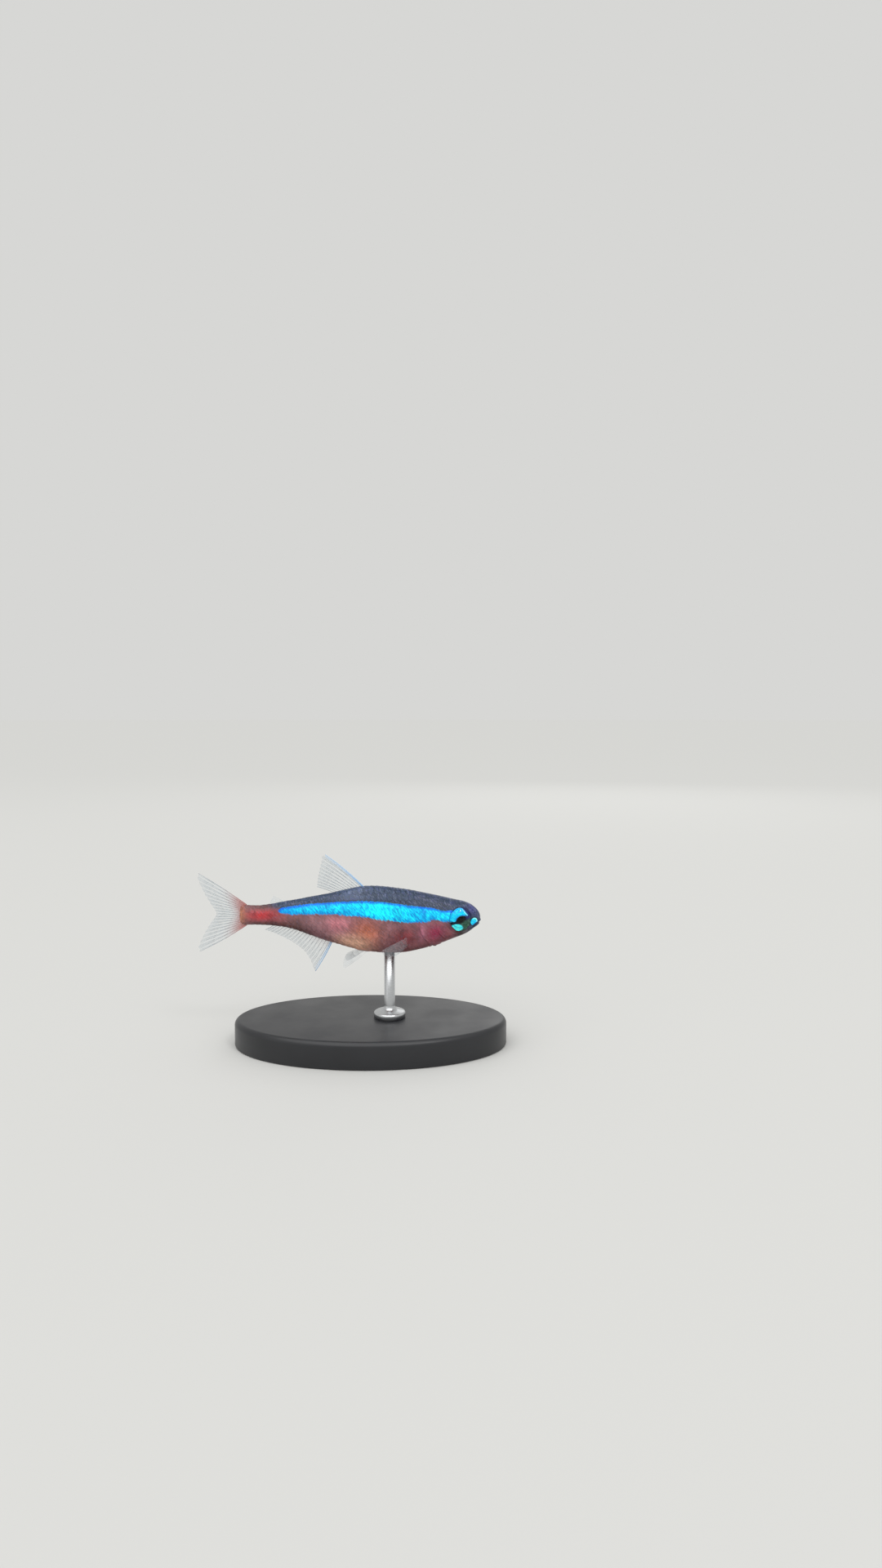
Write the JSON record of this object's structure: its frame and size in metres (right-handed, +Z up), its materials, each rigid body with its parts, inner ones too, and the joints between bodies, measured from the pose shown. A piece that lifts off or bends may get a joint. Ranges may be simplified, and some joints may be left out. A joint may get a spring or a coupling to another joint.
{
  "type": "cardinal tetra",
  "caption": "Life-size model of a swimming cardinal tetra with a bright blue stripe and red belly, held over a flat oval base by one rod.",
  "frame": {"origin": "centre of the underside of the stand's base", "axes": "+X along the fish towards its snout, +Z up, so that -Z is the side that the base rests on; +Y is the fish's left side"},
  "size_m": [0.0415, 0.021, 0.0252],
  "materials": {
    "skin_body": "wet scaled skin, blue stripe over a red flank",
    "skin_head": "wet smooth skin",
    "eye": "wet and clear over a dark pupil and a blue ring",
    "fin": "clear ribbed membrane",
    "stand_steel": "satin turned rod",
    "stand_base": "satin black"
  },
  "bodies": {
    "root": {"head": "skin_head", "lower_jaw": "skin_head", "gill_cover_left": "skin_head", "gill_cover_right": "skin_head", "trunk": "skin_body", "tail_stalk": "skin_body", "eye_left": "eye", "eye_right": "eye", "dorsal_fin": "fin", "adipose_fin": "fin", "anal_fin": "fin", "caudal_fin": "fin", "pectoral_fin_left": "fin", "pectoral_fin_right": "fin", "pelvic_fin_left": "fin", "pelvic_fin_right": "fin", "stand_rod": "stand_steel", "stand_base": "stand_base"}
  },
  "joints": []
}
